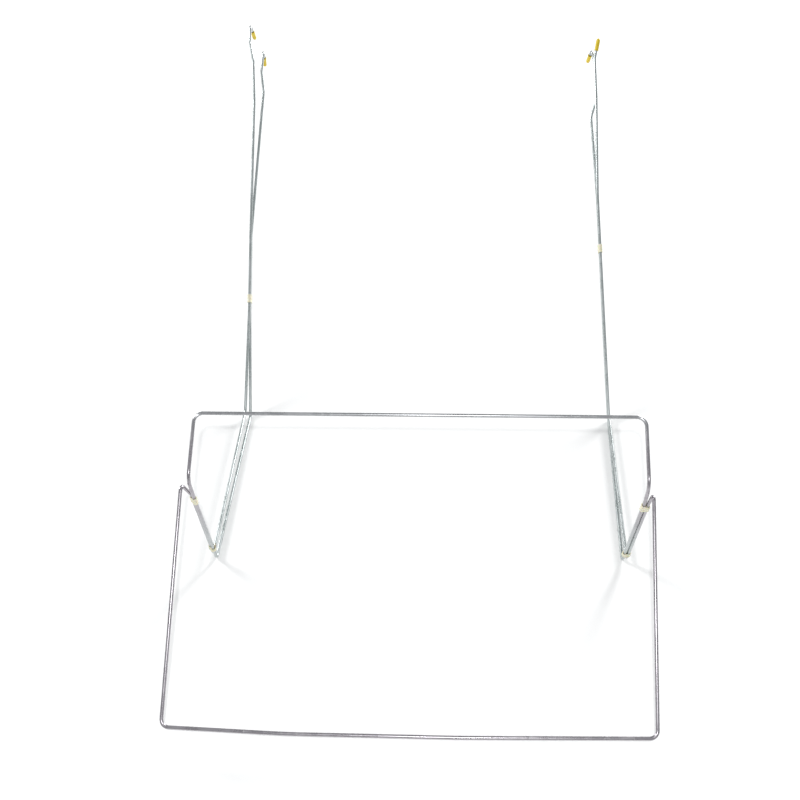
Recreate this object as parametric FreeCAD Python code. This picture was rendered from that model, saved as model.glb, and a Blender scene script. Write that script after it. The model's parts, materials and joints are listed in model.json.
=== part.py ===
"""Hook-on support frame bent from two galvanised wires.

Each wire runs from a hook on the left to a hook on the right. The front-rail wire goes down and
forward from the arms to the long front rail, the top-rail wire goes up and back to the upper rail.
Six sleeves bind the pair, and a soft cap covers each hook's end. Millimetres, +Z up, +X to the
right seen from the front. The origin is the middle of the bounding box at floor level.
"""
import FreeCAD, Part
import math
import os

os.makedirs("parts", exist_ok=True)
Vector = FreeCAD.Vector

# ---- driving dimensions, mm and degrees ----
WIRE = 3.2                  # wire diameter
PITCH = 3.4                 # between the two wires' centres where a sleeve binds them
REAR_BEND = 184.0           # depth from the feet to the rear bends
UPRIGHT_SLOPE = 36.4        # uprights above the floor, leaning back
ARM_SLOPE = 99.5            # arms above the floor, leaning forward past the vertical
ARM_SETBACK = -1.5          # where the plane of the arms meets the floor
FRONT_SLOPE = 210.5         # front legs, forward and down from the shoulders
TOP_SLOPE = 28.8            # short legs of the upper rail, up and back
SHOULDER = 134.0            # arm length up to the shoulder of the front legs
NECK = 143.5                # arm length up to the bend of the upper rail's legs
PAIRED = 117.5              # arm length over which the two wires run side by side
LEFT_LIFT = 5.5             # how far the front-rail wire rides above the other at the left foot
RIGHT_LIFT = 4.2            # and at the right foot
LEFT_STEP = -2.6            # the left foot stands this far behind the plane of the arms
RIGHT_STEP = 3.6            # and the right foot
LEFT_ROLL = 42.0            # how far the left arm's pair is rolled from side by side, towards the rear

FOOT_RADIUS = 4.0           # bend radii, on the wire's centreline
REAR_RADIUS = 9.0
SHOULDER_RADIUS = 4.0
NECK_RADIUS = 12.0
FRONT_CORNER = 6.5
TOP_CORNER = 8.0
HOOK_RADIUS = 4.0
SOFT_RADIUS = 14.0          # small kinks in the wires
BOW_RADIUS = 900.0          # the front rail's long bow

CAP_LENGTH = 14.0
CAP_WALL = 0.9
CAP_DEPTH = 11.5            # how far the wire goes into a cap
CAP_ROUND = 0.4             # rounded rim of a cap
CAP_DOME = 2.0              # rounding of its closed end
CAP_PLAY = 0.02

SLEEVE_WALL = 0.65
SLEEVE_PLAY = 0.25          # round the wires, so that a sleeve can slide
UPRIGHT_SLEEVE = 9.0        # sleeve lengths
ARM_SLEEVE = 8.0
FOOT_SLEEVE = 6.0


# ---- reference planes ----
def ahead(slope):
    """Unit vector in a side plane, slope degrees above the rearward floor line."""
    angle = math.radians(slope)
    return Vector(0, math.cos(angle), math.sin(angle))


def on_upright(x, along, proud=0.0):
    """Beside the uprights: along from the rear bend, proud towards the front."""
    return Vector(x, REAR_BEND, 0) + ahead(UPRIGHT_SLOPE) * along + ahead(UPRIGHT_SLOPE + 90) * proud


def raised_rear_bend(x, lift):
    """Rear bend of the front-rail wire, lift above the floor and PITCH proud of the other wire."""
    slope = math.radians(UPRIGHT_SLOPE)
    along = (lift - PITCH * math.cos(slope)) / math.sin(slope)
    return on_upright(x, along, PITCH)


def on_arm(x, along):
    """On the plane of the arms, along from the floor."""
    return Vector(x, ARM_SETBACK, 0) + ahead(ARM_SLOPE) * along


def on_front(x, along):
    """On the plane of the front legs and front rail, along from the shoulders."""
    return on_arm(x, SHOULDER) + ahead(FRONT_SLOPE) * along


def on_top(x, along):
    """On the plane of the upper rail, along from the necks."""
    return on_arm(x, NECK) + ahead(TOP_SLOPE) * along


def rolled_leftward(arm):
    """Square to the left arm, from its top-rail wire to its front-rail wire."""
    rearward = arm.cross(Vector(1, 0, 0))
    leftward = arm.cross(rearward)
    roll = math.radians(LEFT_ROLL)
    return (leftward * math.cos(roll) + rearward * math.sin(roll)).normalize()


# ---- where the top-rail wire's corners lie beside the front-rail wire's ----
LEFT_FOOT = on_arm(-195.8, 0) + Vector(0, LEFT_STEP, 0)
LEFT_ARM_TOP = on_arm(-193.0, PAIRED)
RIGHT_FOOT = on_arm(194.9, 0) + Vector(0, RIGHT_STEP, 0)
RIGHT_ARM_TOP = on_arm(195.6, PAIRED)
LEFT_PAIR_LOW = on_upright(-197.3, 122.0)
LEFT_PAIR_HIGH = on_upright(-199.1, 208.0)
RIGHT_PAIR_LOW = Vector(201.0, REAR_BEND, 0)
RIGHT_PAIR_HIGH = on_upright(191.7, 253.0)
PROUD = ahead(UPRIGHT_SLOPE + 90)
RIGHTWARD = Vector(1, 0, 0)
UP_LEFT_ARM = (LEFT_ARM_TOP - LEFT_FOOT).normalize()
UP_RIGHT_ARM = (RIGHT_ARM_TOP - RIGHT_FOOT).normalize()
ROLLED = rolled_leftward(UP_LEFT_ARM)

# ---- bent wires: (corner point, bend radius) from the left hook's tip to the right hook's ----
FRONT_RAIL_ROUTE = [
    (on_upright(-208.6, 457.4, -19.0), 0),                     # left outer hook, tip
    (on_upright(-209.2, 461.5, PITCH), HOOK_RADIUS),
    (on_upright(-209.0, 440.5, PITCH), SOFT_RADIUS),
    (on_upright(-204.0, 416.5, PITCH), SOFT_RADIUS),
    (on_upright(-201.0, 369.0, PITCH), SOFT_RADIUS),
    (LEFT_PAIR_HIGH + PROUD * PITCH, SOFT_RADIUS),
    (LEFT_PAIR_LOW + PROUD * PITCH, SOFT_RADIUS),
    (raised_rear_bend(-197.4, LEFT_LIFT), REAR_RADIUS),
    (LEFT_FOOT + ROLLED * PITCH + UP_LEFT_ARM * LEFT_LIFT, FOOT_RADIUS),
    (LEFT_ARM_TOP + ROLLED * PITCH, SOFT_RADIUS),
    (on_arm(-199.3, SHOULDER + 4.7), SHOULDER_RADIUS),
    (on_front(-201.8, 195.6), FRONT_CORNER),
    (on_front(-100.0, 198.2), BOW_RADIUS),
    (on_front(40.0, 197.3), BOW_RADIUS),
    (on_front(195.9, 193.6), FRONT_CORNER),
    (on_arm(200.4, SHOULDER + 0.5), SHOULDER_RADIUS),
    (RIGHT_ARM_TOP + RIGHTWARD * PITCH, SOFT_RADIUS),
    (RIGHT_FOOT + RIGHTWARD * PITCH + UP_RIGHT_ARM * RIGHT_LIFT, FOOT_RADIUS),
    (raised_rear_bend(201.0, RIGHT_LIFT), REAR_RADIUS),
    (RIGHT_PAIR_HIGH + PROUD * PITCH, SOFT_RADIUS),
    (on_upright(191.5, 370.0, PITCH), SOFT_RADIUS),
    (on_upright(190.2, 415.0, PITCH), SOFT_RADIUS),
    (on_upright(193.8, 434.5, 8.5), 0),                        # right outer hook, tip
]

TOP_RAIL_ROUTE = [
    (on_upright(-195.7, 425.0, -22.0), 0),                     # left inner hook, tip
    (on_upright(-193.3, 431.5), HOOK_RADIUS),
    (on_upright(-194.5, 405.0), SOFT_RADIUS),
    (on_upright(-191.1, 381.0), SOFT_RADIUS),
    (LEFT_PAIR_HIGH, SOFT_RADIUS),
    (LEFT_PAIR_LOW, SOFT_RADIUS),
    (Vector(-192.0, REAR_BEND, 0), REAR_RADIUS),
    (LEFT_FOOT, FOOT_RADIUS),
    (LEFT_ARM_TOP, SOFT_RADIUS),
    (on_arm(-191.4, NECK + 3.5), NECK_RADIUS),
    (on_top(-191.5, 60.4), TOP_CORNER),
    (on_top(195.4, 60.8), TOP_CORNER),
    (on_arm(194.7, NECK + 3.0), NECK_RADIUS),
    (RIGHT_ARM_TOP, SOFT_RADIUS),
    (RIGHT_FOOT, FOOT_RADIUS),
    (RIGHT_PAIR_LOW, REAR_RADIUS),
    (RIGHT_PAIR_HIGH, SOFT_RADIUS),
    (on_upright(185.9, 346.5), SOFT_RADIUS),
    (on_upright(191.0, 364.0), SOFT_RADIUS),
    (on_upright(190.2, 413.0), SOFT_RADIUS),
    (on_upright(187.6, 427.5), HOOK_RADIUS),
    (on_upright(185.9, 424.0, -20.0), 0),                      # right inner hook, tip
]


def centreline(route):
    """Straight runs joined by tangent arcs, one at each corner of the route."""
    edges = []
    start = route[0][0]
    for index in range(1, len(route) - 1):
        corner, radius = route[index]
        back = (route[index - 1][0] - corner).normalize()
        on = (route[index + 1][0] - corner).normalize()
        half_turn = (math.pi - back.getAngle(on)) / 2
        reach = radius * math.tan(half_turn)
        arc_start = corner + back * reach
        arc_end = corner + on * reach
        bisector = (back + on).normalize()
        arc_middle = corner + bisector * (radius / math.cos(half_turn) - radius)
        edges.append(Part.LineSegment(start, arc_start).toShape())
        edges.append(Part.Arc(arc_start, arc_middle, arc_end).toShape())
        start = arc_end
    edges.append(Part.LineSegment(start, route[-1][0]).toShape())
    return Part.Wire(edges)


def bent_wire(route):
    path = centreline(route)
    direction = route[1][0] - route[0][0]
    section = Part.Wire([Part.makeCircle(WIRE / 2, route[0][0], direction)])
    return path.makePipeShell([section], True, True)


# ---- soft caps on the hooks' ends ----
def hook_cap(route, tip_index, neighbour_index):
    """Blind cap over a wire's end: a bored sleeve with a domed end and a rounded rim."""
    tip = route[tip_index][0]
    inward = (route[neighbour_index][0] - tip).normalize()
    crown = CAP_DEPTH - CAP_LENGTH
    cap = Part.makeCylinder(WIRE / 2 + CAP_WALL, CAP_LENGTH, Vector(0, 0, crown))
    rim_ring = max(cap.Edges, key=lambda edge: edge.BoundBox.ZMin)
    cap = cap.makeFillet(CAP_ROUND, [rim_ring])
    crown_ring = min(cap.Edges, key=lambda edge: edge.BoundBox.ZMax)
    cap = cap.makeFillet(CAP_DOME, [crown_ring])
    bore = Part.makeCylinder(WIRE / 2 + CAP_PLAY, CAP_DEPTH + WIRE, Vector(0, 0, -CAP_PLAY))
    cap = cap.cut(bore).Solids[0]
    cap.Placement = FreeCAD.Placement(tip, FreeCAD.Rotation(Vector(0, 0, 1), inward))
    return cap


# ---- sleeves that bind the two wires ----
def oval(radius, length):
    """Oval bar along Z round two centres PITCH apart along X, its middle at the origin."""
    half = PITCH / 2
    low = -length / 2
    corners = [Vector(-half, -radius, low), Vector(half, -radius, low),
               Vector(half, radius, low), Vector(-half, radius, low)]
    edges = [
        Part.LineSegment(corners[0], corners[1]).toShape(),
        Part.Arc(corners[1], Vector(half + radius, 0, low), corners[2]).toShape(),
        Part.LineSegment(corners[2], corners[3]).toShape(),
        Part.Arc(corners[3], Vector(-half - radius, 0, low), corners[0]).toShape(),
    ]
    return Part.Face(Part.Wire(edges)).extrude(Vector(0, 0, length))


def sleeve(length, middle, along, across):
    """Oval tube round both wires at middle, its axis along the pair, its wide side across it."""
    outer = oval(WIRE / 2 + SLEEVE_PLAY + SLEEVE_WALL, length)
    inner = oval(WIRE / 2 + SLEEVE_PLAY, length * 2)
    tube = outer.cut(inner).Solids[0]
    side = along.cross(across).normalize()
    square = side.cross(along).normalize()
    turn = FreeCAD.Matrix(square.x, side.x, along.x, middle.x,
                          square.y, side.y, along.y, middle.y,
                          square.z, side.z, along.z, middle.z,
                          0, 0, 0, 1)
    tube.Placement = FreeCAD.Placement(turn)
    return tube


def place_sleeve(length, stretch, distance, across):
    """Sleeve on a straight stretch of the top-rail wire, with the other wire PITCH across from it."""
    first, second = stretch
    along = (second - first).normalize()
    middle = first + along * distance + across * (PITCH / 2)
    return sleeve(length, middle, along, across), middle, along


LEFT_UPRIGHT = (LEFT_PAIR_LOW, LEFT_PAIR_HIGH)
RIGHT_UPRIGHT = (RIGHT_PAIR_LOW, RIGHT_PAIR_HIGH)
LEFT_ARM = (LEFT_FOOT, LEFT_ARM_TOP)
RIGHT_ARM = (RIGHT_FOOT, RIGHT_ARM_TOP)
# name: length, straight stretch of the top-rail wire, distance along it, way to the other wire
SLEEVES = {
    "left_upright_sleeve": (UPRIGHT_SLEEVE, LEFT_UPRIGHT, 11.0, PROUD),
    "right_upright_sleeve": (UPRIGHT_SLEEVE, RIGHT_UPRIGHT, 191.5, PROUD),
    "left_foot_sleeve": (FOOT_SLEEVE, LEFT_ARM, 17.5, ROLLED),
    "right_foot_sleeve": (FOOT_SLEEVE, RIGHT_ARM, 13.2, RIGHTWARD),
    "left_arm_sleeve": (ARM_SLEEVE, LEFT_ARM, 110.0, ROLLED),
    "right_arm_sleeve": (ARM_SLEEVE, RIGHT_ARM, 110.5, RIGHTWARD),
}

solids = {
    "front_rail_wire": bent_wire(FRONT_RAIL_ROUTE),
    "top_rail_wire": bent_wire(TOP_RAIL_ROUTE),
    "left_outer_hook_cap": hook_cap(FRONT_RAIL_ROUTE, 0, 1),
    "right_outer_hook_cap": hook_cap(FRONT_RAIL_ROUTE, -1, -2),
    "left_inner_hook_cap": hook_cap(TOP_RAIL_ROUTE, 0, 1),
    "right_inner_hook_cap": hook_cap(TOP_RAIL_ROUTE, -1, -2),
}
travel = {}
for name, placing in SLEEVES.items():
    solids[name], middle, along = place_sleeve(*placing)
    travel[name] = (middle, along)

# ---- move the origin to the middle of the box, at floor level ----
whole = Part.makeCompound(list(solids.values())).optimalBoundingBox(False, False)
to_origin = Vector(-whole.Center.x, -whole.Center.y, -whole.ZMin)
for name, solid in solids.items():
    solid.translate(to_origin)
    solid.exportStep("parts/" + name + ".step")
    print(name, "volume", round(solid.Volume, 1), "valid", solid.isValid(), solid.ShapeType)
for name, (middle, along) in travel.items():
    place = middle + to_origin
    print(name, "at", [round(v, 2) for v in place], "slides along", [round(v, 5) for v in along])
print("size", round(whole.XLength, 1), round(whole.YLength, 1), round(whole.ZLength, 1))
print("moved by", [round(v, 3) for v in to_origin])
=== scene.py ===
"""Looks of a hook-on support frame bent from two galvanised wires. Metres, +Z up."""
import json
import math

import bmesh
import bpy
from mathutils import Euler, Matrix, Vector


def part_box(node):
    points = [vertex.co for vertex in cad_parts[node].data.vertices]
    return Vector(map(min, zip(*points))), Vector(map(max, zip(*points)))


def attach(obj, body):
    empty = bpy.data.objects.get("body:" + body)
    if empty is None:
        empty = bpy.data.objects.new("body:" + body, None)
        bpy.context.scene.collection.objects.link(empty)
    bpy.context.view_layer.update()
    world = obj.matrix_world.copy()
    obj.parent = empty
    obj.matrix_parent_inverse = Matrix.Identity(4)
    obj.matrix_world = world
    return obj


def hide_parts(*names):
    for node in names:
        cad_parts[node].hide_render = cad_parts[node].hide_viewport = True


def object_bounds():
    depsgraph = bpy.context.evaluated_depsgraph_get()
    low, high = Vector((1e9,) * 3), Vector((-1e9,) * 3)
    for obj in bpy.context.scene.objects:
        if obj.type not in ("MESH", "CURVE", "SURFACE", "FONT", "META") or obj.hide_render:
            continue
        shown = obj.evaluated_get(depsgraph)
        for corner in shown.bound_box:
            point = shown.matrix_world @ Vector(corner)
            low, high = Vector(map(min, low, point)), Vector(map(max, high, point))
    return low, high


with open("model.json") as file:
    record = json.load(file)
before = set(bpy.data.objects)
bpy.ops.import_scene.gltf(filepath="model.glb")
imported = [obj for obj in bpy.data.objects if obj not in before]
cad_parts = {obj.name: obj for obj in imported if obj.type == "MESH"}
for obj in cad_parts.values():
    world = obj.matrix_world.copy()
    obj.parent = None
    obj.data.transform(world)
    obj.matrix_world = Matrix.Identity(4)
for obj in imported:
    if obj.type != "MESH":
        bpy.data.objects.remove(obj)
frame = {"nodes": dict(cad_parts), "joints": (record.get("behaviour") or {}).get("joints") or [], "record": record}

cad_low, cad_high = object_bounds()
MM = 0.001

# ---- sizes shared with the design ----
WIRE = 3.2 * MM
PITCH = WIRE + 0.2 * MM              # between the centres of two bound wires
SLEEVE_BORE = WIRE / 2 + 0.25 * MM   # inner and outer radius round each wire
SLEEVE_SKIN = SLEEVE_BORE + 0.65 * MM
CAP_BORE = WIRE / 2 + 0.02 * MM
CAP_LENGTH = 14.0 * MM

# ---- detail of the pieces ----
CAP_SKIN = 2.49 * MM                 # outer radius, just inside the design's
CAP_DEPTH = 11.6 * MM                # of its bore, just past the wire's end
# length, slant of the upper rim, lift of the upper and lower rims at the sides
SLEEVES = {"upright": (9.0 * MM, 0.0, 0.0, 0.0), "arm": (8.0 * MM, 0.36, 0.0, 0.0),
           "foot": (6.0 * MM, 0.0, -0.7 * MM, 1.9 * MM)}
RIBS = 3
RIB_PITCH = 0.34                     # share of half the sleeve's length
OUTER_WAIST = 0.07                   # share of the radius lost between the two wires
BORE_WAIST = 0.30
TAIL = Vector((0.7, 2.2, 6.0)) * MM           # thickness, width, height
TAIL_PLACE = Vector((3.35, 0.3, 0.0)) * MM    # from the sleeve's axis
TAIL_ROOT = 0.9 * MM                          # how deep it is sunk in the sleeve
TAIL_TAPER = 0.35
TAIL_CURL = 0.5 * MM
DOME_HEIGHT = 3.15                            # mm, of a cap's closed end
DOME_STEPS = 8
CREASE = math.radians(40)                     # edges sharper than this stay sharp
RUBBED_REACH = (4 * MM, 11 * MM)              # from a hook: all rubbed up to one, none past the other
FRONT_SHADE_EDGE = (-0.26, -0.19)                 # metres along Y: the painted shade on the low front of the wire fades out between them
FRONT_SHADE_LEAN = 0.4                            # how far that fade moves to the rear as the wire rises

# ---- viewpoint and light ----
CAMERA_PLACE = Vector((0.036608, -0.713684, 0.764374))
CAMERA_TURN = Euler([math.radians(angle) for angle in (44.1901, 1.9133, 2.6103)])
LENS = 42.75
SENSOR = 36.0
FLOOR_WIDTH = 14.0
FLOOR_TONE = (0.88, 0.88, 0.875, 1)
AMBIENT_TONE = (0.96, 0.98, 1.0, 1)
AMBIENT = 0.50
SUBJECT = Vector((0, -0.1, 0.08))
# name: place, width, watts
LAMPS = {
    "flash": ((0.035, -0.754, 0.90), 0.02, 3.1),
    "left_softbox": ((-2.48, 1.15, 1.86), 0.9, 55.0),
    "right_softbox": ((1.75, 2.77, 1.03), 0.9, 112.0),
}


# ---- shader nodes ----
def feed(tree, entry, value):
    """Links a Shade into a node's socket, or sets the socket to a constant."""
    if isinstance(value, Shade):
        tree.links.new(value.outlet, entry)
    else:
        entry.default_value = value


class Shade:
    """One node's output inside a material. Arithmetic on it adds Math nodes."""

    def __init__(self, tree, outlet):
        self.tree = tree
        self.outlet = outlet

    def node(self, kind, settings, inputs, outlet=0):
        """Adds a node of any type: its settings first, then the values or links of its sockets."""
        made = self.tree.nodes.new(kind)
        for name, value in settings.items():
            setattr(made, name, value)
        for key, value in inputs.items():
            feed(self.tree, made.inputs[key], value)
        return Shade(self.tree, made.outputs[outlet])

    def math(self, operation, first, second):
        return self.node("ShaderNodeMath", {"operation": operation}, {0: first, 1: second})

    def __add__(self, other):
        return self.math("ADD", self, other)

    def __radd__(self, other):
        return self.math("ADD", other, self)

    def __sub__(self, other):
        return self.math("SUBTRACT", self, other)

    def __rsub__(self, other):
        return self.math("SUBTRACT", other, self)

    def __mul__(self, other):
        return self.math("MULTIPLY", self, other)

    def __rmul__(self, other):
        return self.math("MULTIPLY", other, self)

    def between(self, low, high):
        """0 below low, 1 above high, and smooth between them."""
        return self.node("ShaderNodeMapRange", {"interpolation_type": "SMOOTHSTEP"},
                         {"Value": self, "From Min": low, "From Max": high})

    def noise(self, scale, detail=2.0, roughness=0.5):
        return self.node("ShaderNodeTexNoise", {},
                         {"Vector": self, "Scale": scale, "Detail": detail, "Roughness": roughness})

    def cells(self, scale):
        """A random number for each cell of the pattern."""
        colour = self.node("ShaderNodeTexVoronoi", {}, {"Vector": self, "Scale": scale}, "Color")
        return colour.node("ShaderNodeSeparateColor", {}, {0: colour}, "Red")

    def stretch(self, factors):
        return self.node("ShaderNodeVectorMath", {"operation": "MULTIPLY"}, {0: self, 1: factors})

    def plus(self, other):
        return self.node("ShaderNodeVectorMath", {"operation": "ADD"}, {0: self, 1: other})

    def away_from(self, place):
        """Distance from a fixed place."""
        return self.node("ShaderNodeVectorMath", {"operation": "DISTANCE"},
                         {0: self, 1: place}, "Value")

    def part(self, axis):
        """One coordinate of a place."""
        return self.node("ShaderNodeSeparateXYZ", {}, {0: self}, axis)

    def mix(self, first, second):
        """First colour where this is 0, second where it is 1."""
        return self.node("ShaderNodeMix", {"data_type": "RGBA"}, {0: self, 6: first, 7: second}, 2)

    def bump(self, depth, strength):
        return self.node("ShaderNodeBump", {}, {"Height": self, "Distance": depth, "Strength": strength})


def finish_of(name, **constants):
    """A new material. Returns it, its shader, and the places and normals on the piece."""
    material = bpy.data.materials.new(name)
    material.use_nodes = True
    tree = material.node_tree
    shader = tree.nodes["Principled BSDF"]
    for socket, value in constants.items():
        shader.inputs[socket.replace("_", " ")].default_value = value
    places = tree.nodes.new("ShaderNodeTexCoord")
    return material, shader, Shade(tree, places.outputs["Object"]), Shade(tree, places.outputs["Normal"])


def dress(shader, **inputs):
    """Feeds what changes over the surface into the shader."""
    for socket, value in inputs.items():
        feed(shader.id_data, shader.inputs[socket.replace("_", " ")], value)


# ---- finishes ----
def galvanised_wire(worn_places):
    """Drawn wire with a zinc coat: dull mottled crystals, fine drawing lines, chalky spots, rubbed hooks.

    Its low front is painted darker and slightly violet, as painted shade.
    """
    material, shader, place, facing = finish_of("galvanised_wire", Metallic=1.0)
    mottle = place.noise(55.0, 3.0, 0.6).between(0.38, 0.62)
    crystal = place.cells(900.0)
    lines = facing.stretch((5.0, 5.0, 5.0)).plus(place.stretch((20.0, 20.0, 20.0))).noise(2.6, 3.0, 0.65)
    # painted shade: the low front of the wire is painted darker and slightly violet
    front_painted_shade = 1 - (place.part("Y") - FRONT_SHADE_LEAN * place.part("Z")).between(*FRONT_SHADE_EDGE)
    dull = front_painted_shade.mix((0.48, 0.52, 0.515, 1), (0.37, 0.35, 0.375, 1))
    bright = front_painted_shade.mix((0.56, 0.595, 0.595, 1), (0.45, 0.43, 0.455, 1))
    tone = (0.55 * mottle + 0.30 * crystal + 0.35 * lines - 0.1).between(0.0, 1.0)
    colour = tone.mix(dull, bright)
    rub = None
    for spot in worn_places:
        near = 1 - place.away_from(spot).between(*RUBBED_REACH)
        rub = near if rub is None else rub.math("MAXIMUM", rub, near)
    rub = rub * place.noise(700.0, 2.0).between(0.3, 0.6)
    colour = rub.mix(colour, (0.38, 0.39, 0.40, 1))
    chalk = place.noise(260.0, 4.0, 0.7).between(0.60, 0.72)
    colour = (0.5 * chalk).mix(colour, (0.62, 0.64, 0.62, 1))
    roughness = 0.27 + 0.06 * mottle - 0.03 * crystal + 0.15 * chalk + 0.10 * rub
    relief = 0.5 * lines + 0.3 * crystal + 0.4 * place.noise(420.0, 3.0)
    dress(shader, Base_Color=colour, Roughness=roughness, Metallic=1 - 0.15 * chalk,
          Normal=relief.bump(0.02 * MM, 0.25))
    return material


def ivory_sleeve():
    """Matte ivory plastic, yellowed in clouds, with small specks of grime."""
    material, shader, place, _ = finish_of("ivory_sleeve", Subsurface_Weight=0.12,
                                           Subsurface_Scale=0.6 * MM, Specular_IOR_Level=0.4)
    cloud = place.noise(330.0, 3.0, 0.6).between(0.3, 0.7)
    speck = place.noise(2600.0, 2.0).between(0.62, 0.72)
    colour = cloud.mix((0.83, 0.81, 0.67, 1), (0.74, 0.70, 0.47, 1))
    colour = (0.35 * speck).mix(colour, (0.42, 0.34, 0.20, 1))
    grain = place.noise(3200.0, 3.0, 0.6)
    dress(shader, Base_Color=colour, Roughness=0.46 + 0.12 * cloud, Normal=grain.bump(0.02 * MM, 0.5))
    return material


def shade_brown_flap():
    """The sleeves' plastic, painted brown and dull: painted shade of its shaded side."""
    material, shader, place, _ = finish_of("shade_brown_flap", Specular_IOR_Level=0.3)
    cloud = place.noise(600.0, 4.0, 0.65).between(0.3, 0.7)
    # painted shade: the flap is painted brown where the ivory plastic is in shade
    colour = cloud.mix((0.30, 0.235, 0.14, 1), (0.46, 0.39, 0.25, 1))
    dress(shader, Base_Color=colour, Roughness=0.62 + 0.15 * cloud,
          Normal=place.noise(2400.0, 3.0).bump(0.04 * MM, 0.6))
    return material


def yellow_vinyl():
    """Soft dipped vinyl: yellow, a little deeper in places, with pale scuffs and a fine orange peel."""
    material, shader, place, _ = finish_of("yellow_vinyl", Subsurface_Weight=0.08,
                                           Subsurface_Scale=0.8 * MM, Coat_Roughness=0.3)
    cloud = place.noise(240.0, 3.0, 0.55).between(0.3, 0.7)
    scuff = place.stretch((1.0, 1.0, 3.0)).noise(1500.0, 4.0, 0.7).between(0.60, 0.70)
    colour = cloud.mix((0.66, 0.47, 0.006, 1), (0.74, 0.55, 0.010, 1))
    colour = (0.4 * scuff).mix(colour, (0.66, 0.56, 0.24, 1))
    orange_peel = place.noise(1300.0, 2.0, 0.5)
    dress(shader, Base_Color=colour, Roughness=0.33 + 0.10 * cloud + 0.25 * scuff,
          Coat_Weight=0.25 - 0.2 * scuff, Normal=orange_peel.bump(0.03 * MM, 0.5))
    return material


def floor_finish():
    material, shader, place, _ = finish_of("pale_floor", Base_Color=FLOOR_TONE)
    dress(shader, Roughness=0.6 + 0.1 * place.noise(3.0))
    return material


# ---- pieces ----
def finished(bm, name, finish, body):
    """Makes a finished piece of a bmesh, which rides on a body."""
    bmesh.ops.recalc_face_normals(bm, faces=bm.faces)
    mesh = bpy.data.meshes.new(name)
    bm.to_mesh(mesh)
    bm.free()
    mesh.shade_smooth()
    mesh.set_sharp_from_angle(angle=CREASE)
    mesh.materials.append(finish)
    piece = bpy.data.objects.new(name, mesh)
    bpy.context.scene.collection.objects.link(piece)
    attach(piece, body)
    return piece


def turned(along, across, middle):
    """Matrix that puts a piece made upright at the origin in its place."""
    side = along.cross(across).normalized()
    square = side.cross(along).normalized()
    return Matrix.Translation(middle) @ Matrix((square, side, along)).transposed().to_4x4()


def section_of_sleeve():
    """Wall of a sleeve in (radius, share of half the length): outside from end to end, then the bore."""
    lip = SLEEVE_SKIN - 0.22 * MM
    shoulder = SLEEVE_SKIN - 0.05 * MM
    groove = SLEEVE_SKIN - 0.16 * MM
    rib = SLEEVE_SKIN - 0.03 * MM
    mouth = SLEEVE_BORE + 0.12 * MM
    band = [(lip, 1.0), (shoulder, 0.97), (SLEEVE_SKIN, 0.91), (SLEEVE_SKIN, 0.74),
            (groove, 0.68), (groove, 0.50)]
    outside = [(radius, -share) for radius, share in band]
    for number in range(RIBS):
        middle = (number - (RIBS - 1) / 2) * RIB_PITCH
        outside += [(groove, middle - 0.13), (rib, middle - 0.08),
                    (rib, middle + 0.08), (groove, middle + 0.13)]
    outside += reversed(band)
    bore = [(mouth, 1.0), (SLEEVE_BORE, 0.94), (SLEEVE_BORE, -0.94), (mouth, -1.0)]
    return outside, bore


def oval_ring(bm, radius, height, waist):
    """Closed loop round two centres PITCH apart, pinched between them by waist."""
    ring = bmesh.ops.create_circle(bm, segments=64, radius=radius)["verts"]
    for vertex in ring:
        lean = vertex.co.x / radius
        vertex.co.x += math.copysign(PITCH / 2, lean) * min(1, abs(lean) * 8)
        vertex.co.y *= 1 - waist * (1 - min(1, abs(vertex.co.x) / (PITCH * 0.62)) ** 2)
        vertex.co.z = height
    return list({edge for vertex in ring for edge in vertex.link_edges})


def sleeve_body(bm, length, slant, upper_lift, lower_lift):
    """Oval tube with rolled lips and ribs, pinched between the two wires.

    A slant lowers its upper rim on the side of the front-rail wire, where that wire bends away.
    A lift raises a rim at both sides, so a foot's sleeve is a half moon that fits the bend below it.
    """
    outside, bore = section_of_sleeve()
    rings = [oval_ring(bm, radius, share * length / 2, OUTER_WAIST) for radius, share in outside]
    rings += [oval_ring(bm, radius, share * length / 2, BORE_WAIST) for radius, share in bore]
    for first, second in zip(rings, rings[1:] + rings[:1]):
        bmesh.ops.bridge_loops(bm, edges=first + second)
    for vertex in bm.verts:
        outward = vertex.co.x / (PITCH / 2 + SLEEVE_SKIN)
        share = vertex.co.z / (length / 2)
        if share > 0:
            vertex.co.z += upper_lift * share * outward ** 2 - slant * outward * vertex.co.z
        else:
            vertex.co.z -= lower_lift * share * outward ** 2


def wide_side(node, along):
    """Square to the sleeve's axis, towards the outer tip of its oval."""
    low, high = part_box(node)
    middle = (low + high) / 2
    spokes = []
    for vertex in frame["nodes"][node].data.vertices:
        spoke = vertex.co - middle
        spokes.append(spoke - along * spoke.dot(along))
    across = max(spokes, key=lambda spoke: spoke.length).normalized()
    return across if across.x * middle.x >= 0 else -across


def seat_of_sleeve(node):
    """Middle of a CAD sleeve, the way that it slides, its length and the shape of its rims."""
    joint = next(joint for joint in frame["joints"] if joint["child"] == node)
    low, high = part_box(node)
    length, *rims = next(values for word, values in SLEEVES.items() if word in node)
    return (low + high) / 2, Vector(joint["axis"]).normalized(), length, rims


def sleeve_piece(node, finish):
    """Moulded sleeve in the place of a CAD one."""
    middle, along, length, rims = seat_of_sleeve(node)
    bm = bmesh.new()
    sleeve_body(bm, length, *rims)
    place = turned(along, wide_side(node, along), middle)
    bmesh.ops.transform(bm, matrix=place, verts=bm.verts)
    sleeve = finished(bm, node.replace("sleeve", "moulded_sleeve"), finish, node)
    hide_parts(node)


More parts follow.
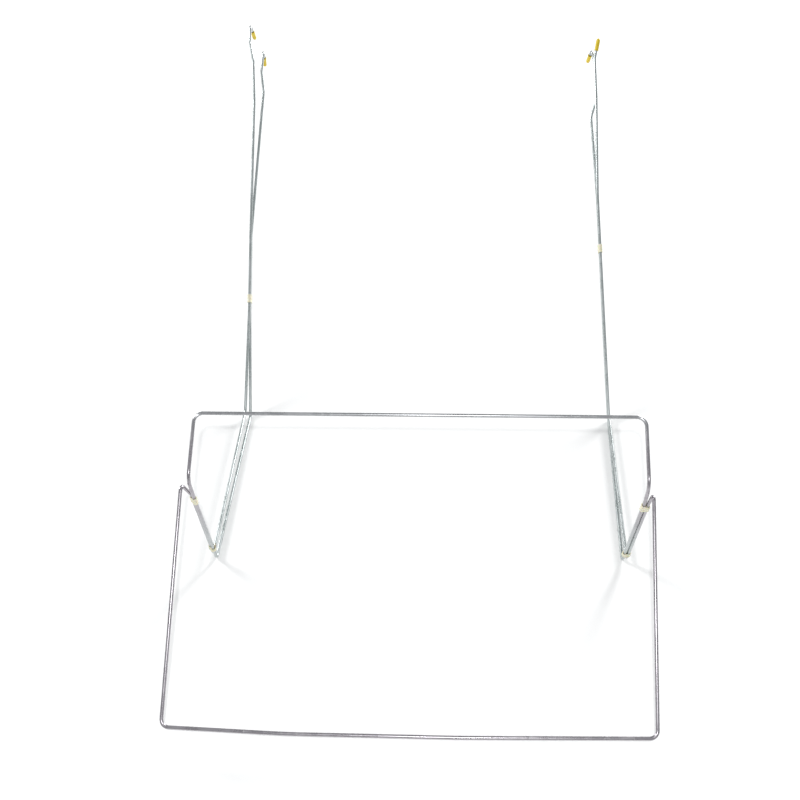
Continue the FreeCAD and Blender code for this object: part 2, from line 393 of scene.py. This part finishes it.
def tail_piece(node, finish):
    """Flap of the sleeve's own material, painted brown as painted shade, that stands on its upper rim, at its
    inner side.
    """
    middle, along, length, _ = seat_of_sleeve(node)
    bm = bmesh.new()
    bmesh.ops.create_cube(bm, size=1.0)
    bmesh.ops.scale(bm, vec=TAIL, verts=bm.verts)
    bmesh.ops.subdivide_edges(bm, edges=bm.edges, cuts=5, use_grid_fill=True)
    for vertex in bm.verts:
        height = vertex.co.z / TAIL.z + 0.5
        vertex.co.y *= 1 - TAIL_TAPER * height ** 2
        vertex.co.x += TAIL_CURL * height ** 2
    centre = middle + TAIL_PLACE + along * (length / 2 + TAIL.z / 2 - TAIL_ROOT)
    bmesh.ops.transform(bm, matrix=turned(along, Vector((1, 0, 0)), centre), verts=bm.verts)
    bmesh.ops.smooth_vert(bm, verts=bm.verts, factor=0.5, use_axis_x=True, use_axis_y=True, use_axis_z=True)
    finished(bm, node + "_tail", finish, node)


def axis_of_cap(node):
    """Mouth of a CAD cap and the way to its closed end, from its mesh."""
    points = [vertex.co for vertex in frame["nodes"][node].data.vertices]
    middle = sum(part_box(node), Vector()) / 2
    far = max(points, key=lambda point: (point - middle).length)
    along = (far - middle).normalized()
    for _ in range(20):
        drift = sum(((point - middle) * (point - middle).dot(along) for point in points), Vector())
        along = drift.normalized()
    reach = [(point - middle).dot(along) for point in points]
    middle += along * (max(reach) + min(reach)) / 2
    ends = {}
    for way in (1, -1):
        tips = [point - middle for point in points
                if way * (point - middle).dot(along) > CAP_LENGTH / 2 - 0.1 * MM]
        ends[way] = min((tip - along * tip.dot(along)).length for tip in tips)
    along = along if ends[1] < ends[-1] else -along
    return middle - along * CAP_LENGTH / 2, along


def cap_piece(node, finish):
    """Dipped vinyl cap: rolled rim, slight waist and a domed end."""
    dome = CAP_SKIN - 0.16 * MM
    # radius, and height above the mouth in millimetres
    profile = [(CAP_BORE, 0.25), (CAP_BORE + 0.2 * MM, 0.0), (CAP_SKIN - 0.25 * MM, 0.0),
               (CAP_SKIN, 0.35), (CAP_SKIN, 0.9), (CAP_SKIN - 0.22 * MM, 1.35),
               (CAP_SKIN - 0.25 * MM, 2.2), (CAP_SKIN - 0.18 * MM, 6.0), (dome, 10.6)]
    tip = CAP_LENGTH / MM - 0.25
    for step in range(1, DOME_STEPS):
        angle = math.radians(90 * step / DOME_STEPS)
        profile.append((dome * math.cos(angle), tip - DOME_HEIGHT + DOME_HEIGHT * math.sin(angle)))
    profile += [(0.35 * MM, tip + 0.02), (0.22 * MM, tip + 0.2), (0.0, tip + 0.25)]
    bm = bmesh.new()
    outline = [bm.verts.new((radius, 0, height * MM)) for radius, height in profile]
    bottom = [bm.verts.new((0.0, 0, CAP_DEPTH + 0.02 * MM)), bm.verts.new((CAP_BORE, 0, CAP_DEPTH))]
    chain = bottom + outline
    edges = [bm.edges.new(pair) for pair in zip(chain, chain[1:])]
    bmesh.ops.spin(bm, geom=chain + edges, cent=(0, 0, 0), axis=(0, 0, 1), angle=math.tau, steps=48,
                   use_merge=True)
    bmesh.ops.remove_doubles(bm, verts=bm.verts, dist=0.002 * MM)
    mouth, along = axis_of_cap(node)
    across = along.orthogonal()
    bmesh.ops.transform(bm, matrix=turned(along, across, mouth), verts=bm.verts)
    cap = finished(bm, node.replace("cap", "dipped_cap"), finish, "frame")
    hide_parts(node)


# ---- the object ----
hooks = [Vector(mount["pos_m"]) for mount in frame["record"]["mounts"] if "hook" in mount["name"]]
zinc = galvanised_wire(hooks)
for name in ("front_rail_wire", "top_rail_wire"):
    frame["nodes"][name].material_slots[0].material = zinc

ivory = ivory_sleeve()
vinyl = yellow_vinyl()
for name in sorted(frame["nodes"]):
    if name.endswith("sleeve"):
        sleeve_piece(name, ivory)
    if name.endswith("cap"):
        cap_piece(name, vinyl)
tail_piece("left_foot_sleeve", shade_brown_flap())


# ---- studio ----
def make_floor():
    bm = bmesh.new()
    bmesh.ops.create_grid(bm, x_segments=1, y_segments=1, size=FLOOR_WIDTH / 2)
    mesh = bpy.data.meshes.new("studio_floor")
    bm.to_mesh(mesh)
    bm.free()
    mesh.materials.append(floor_finish())
    floor = bpy.data.objects.new("studio_floor", mesh)
    floor.location.z = cad_low.z
    bpy.context.scene.collection.objects.link(floor)


def make_lamp(name, place, width, watts):
    data = bpy.data.lights.new(name, "AREA")
    data.shape = "DISK"
    data.size = width
    data.energy = watts
    lamp = bpy.data.objects.new(name, data)
    lamp.location = place
    lamp.rotation_euler = (SUBJECT - Vector(place)).to_track_quat("-Z", "Y").to_euler()
    bpy.context.scene.collection.objects.link(lamp)


def make_camera():
    data = bpy.data.cameras.new("camera")
    data.lens = LENS
    data.sensor_width = SENSOR
    camera = bpy.data.objects.new("camera", data)
    camera.location = CAMERA_PLACE
    camera.rotation_euler = CAMERA_TURN
    bpy.context.scene.collection.objects.link(camera)
    bpy.context.scene.camera = camera


def make_world():
    world = bpy.data.worlds.new("studio")
    world.use_nodes = True
    glow = world.node_tree.nodes["Background"]
    glow.inputs["Color"].default_value = AMBIENT_TONE
    glow.inputs["Strength"].default_value = AMBIENT
    bpy.context.scene.world = world


make_floor()
for name, (place, width, watts) in LAMPS.items():
    make_lamp(name, place, width, watts)
make_world()
bpy.context.scene.view_settings.view_transform = "Standard"
make_camera()
